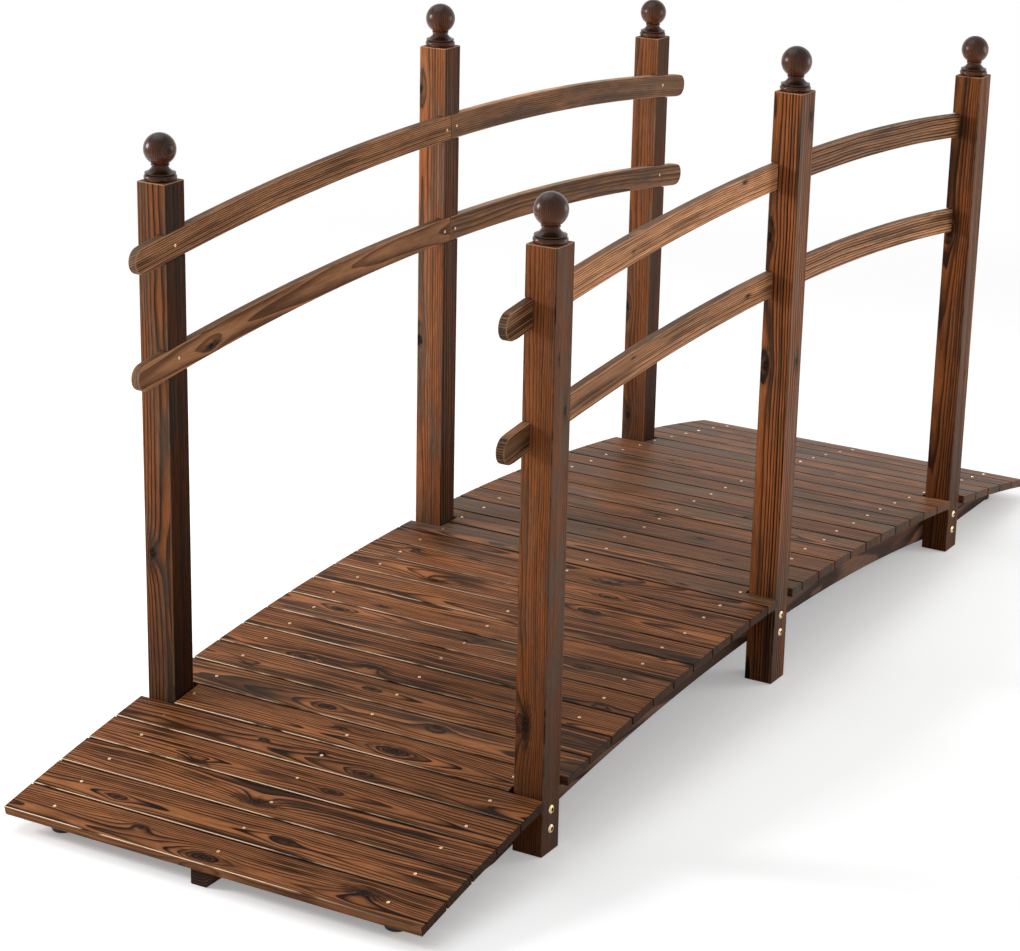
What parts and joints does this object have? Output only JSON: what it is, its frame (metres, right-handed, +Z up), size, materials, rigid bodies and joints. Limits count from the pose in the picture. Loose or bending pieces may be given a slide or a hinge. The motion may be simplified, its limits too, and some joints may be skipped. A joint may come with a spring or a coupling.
{
  "type": "arched garden footbridge",
  "caption": "Small arched timber garden footbridge with a plank deck, square posts, ball finials and arched double handrails.",
  "frame": {"origin": "on the ground, at the middle of the bridge's length and width", "axes": "+X along the bridge towards the end that is far in the picture, +Y towards its left side, +Z up"},
  "size_m": [2.2914, 0.722, 1.0727],
  "materials": {
    "post_wood": "stained, satin",
    "finial_wood": "turned, satin varnish",
    "rail_wood": "stained, satin",
    "stringer_wood": "stained, matt",
    "deck_wood": "stained, satin",
    "screw_brass": "zinc-yellow screw heads",
    "foot_rubber": "black, glossy"
  },
  "bodies": {
    "root": {"near_left_post": "post_wood", "near_right_post": "post_wood", "mid_left_post": "post_wood", "mid_right_post": "post_wood", "far_left_post": "post_wood", "far_right_post": "post_wood", "near_left_finial": "finial_wood", "near_right_finial": "finial_wood", "mid_left_finial": "finial_wood", "mid_right_finial": "finial_wood", "far_left_finial": "finial_wood", "far_right_finial": "finial_wood", "near_left_upper_rail": "rail_wood", "near_right_upper_rail": "rail_wood", "far_left_upper_rail": "rail_wood", "far_right_upper_rail": "rail_wood", "near_left_lower_rail": "rail_wood", "near_right_lower_rail": "rail_wood", "far_left_lower_rail": "rail_wood", "far_right_lower_rail": "rail_wood", "left_stringer": "stringer_wood", "middle_stringer": "stringer_wood", "right_stringer": "stringer_wood", "near_ramp_planks": "deck_wood", "near_post_plank": "deck_wood", "near_bay_planks": "deck_wood", "mid_post_planks": "deck_wood", "far_bay_planks": "deck_wood", "far_post_plank": "deck_wood", "far_ramp_planks": "deck_wood"}
  },
  "joints": []
}
